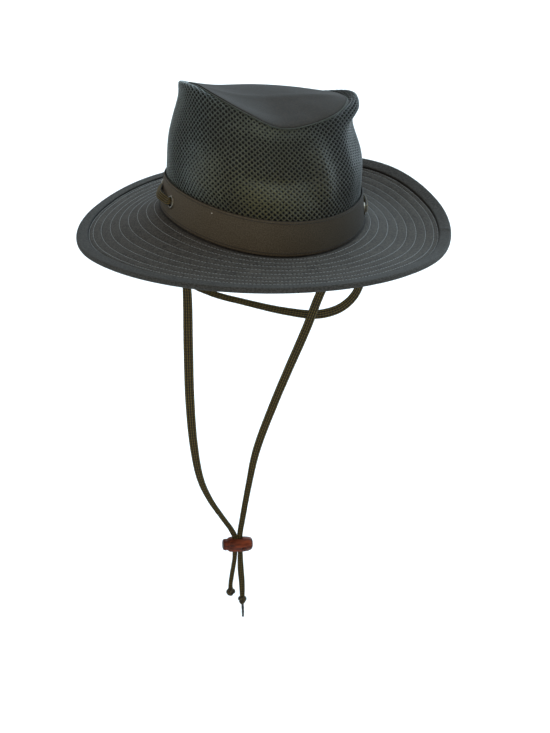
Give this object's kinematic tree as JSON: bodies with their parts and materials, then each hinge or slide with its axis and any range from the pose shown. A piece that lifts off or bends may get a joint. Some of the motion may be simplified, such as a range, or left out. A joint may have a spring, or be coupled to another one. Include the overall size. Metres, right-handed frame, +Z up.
{
  "type": "sun hat",
  "caption": "Wide-brimmed sun hat with a knitted mesh crown wall, smooth crown tip, stitched bound brim, and a braided chin cord through eyelets with a barrel toggle.",
  "frame": {"origin": "centre of the head opening, where the hat sits on a head", "axes": "+Z up out of the crown, -Y toward the front of the hat, +X toward the side that is right in a front view"},
  "size_m": [0.319, 0.3581, 0.5067],
  "materials": {
    "brim_canvas": "stitched dark grey canvas",
    "binding_canvas": "folded canvas edge",
    "band_canvas": "brown grey canvas strip",
    "knitted_mesh": "dark green knitted mesh",
    "tip_cloth": "smooth dark grey cloth",
    "eyelet_metal": "dull antique metal",
    "cord_braid": "olive brown flat braid",
    "toggle_wood": "dark red brown, lightly polished",
    "knot_braid": "tight dark braid",
    "sealed_end": "heat sealed dark end"
  },
  "bodies": {
    "root": {"brim": "brim_canvas", "brim_binding": "binding_canvas", "crown_band": "band_canvas", "crown_mesh": "knitted_mesh", "crown_tip": "tip_cloth", "eyelet_front_left": "eyelet_metal", "eyelet_front_right": "eyelet_metal", "eyelet_rear_left": "eyelet_metal", "eyelet_rear_right": "eyelet_metal", "chin_cord": "cord_braid", "toggle": "toggle_wood", "knot_left": "knot_braid", "knot_right": "knot_braid", "cord_tail": "sealed_end"}
  },
  "joints": []
}
